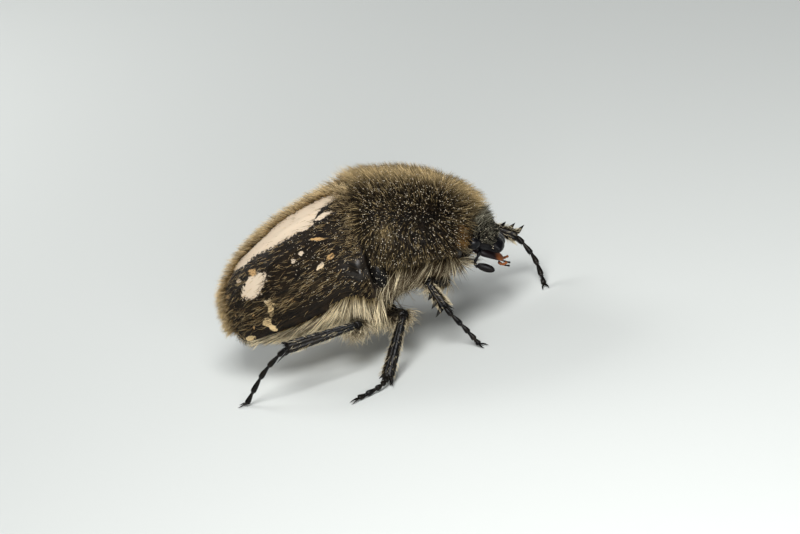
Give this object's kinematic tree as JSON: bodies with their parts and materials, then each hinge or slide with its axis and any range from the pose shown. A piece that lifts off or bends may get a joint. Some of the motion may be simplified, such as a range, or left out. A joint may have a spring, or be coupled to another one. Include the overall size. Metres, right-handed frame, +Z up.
{
  "type": "hairy rose beetle model",
  "caption": "Life-size still model of a hairy flower beetle standing on its legs, with a furry domed pronotum and spotted wing cases.",
  "frame": {"origin": "on the floor, under the middle of the model's bounding box", "axes": "+X towards the head, +Y towards the beetle's left side, +Z up"},
  "size_m": [0.014, 0.0134, 0.0076],
  "materials": {
    "shell": "glossy black shell with cream marks and short hair",
    "dark_coat": "erect hair, dark at the root and golden brown at the tip",
    "straw_coat": "long straw-coloured hair",
    "eye": "polished black, finely faceted",
    "mouth": "orange-red"
  },
  "bodies": {
    "root": {"abdomen": "shell", "elytron_left": "shell", "elytron_right": "shell", "eye_left": "eye", "eye_right": "eye", "feeler_left": "shell", "feeler_right": "shell", "femur_front_left": "shell", "femur_front_right": "shell", "femur_hind_left": "shell", "femur_hind_right": "shell", "femur_mid_left": "shell", "femur_mid_right": "shell", "head": "shell", "mouthparts": "mouth", "pronotum": "dark_coat", "prosternum": "straw_coat", "pygidium": "shell", "scutellum": "shell", "tarsus_front_left": "shell", "tarsus_front_right": "shell", "tarsus_hind_left": "shell", "tarsus_hind_right": "shell", "tarsus_mid_left": "shell", "tarsus_mid_right": "shell", "thorax": "straw_coat", "tibia_front_left": "shell", "tibia_front_right": "shell", "tibia_hind_left": "shell", "tibia_hind_right": "shell", "tibia_mid_left": "shell", "tibia_mid_right": "shell"}
  },
  "joints": []
}
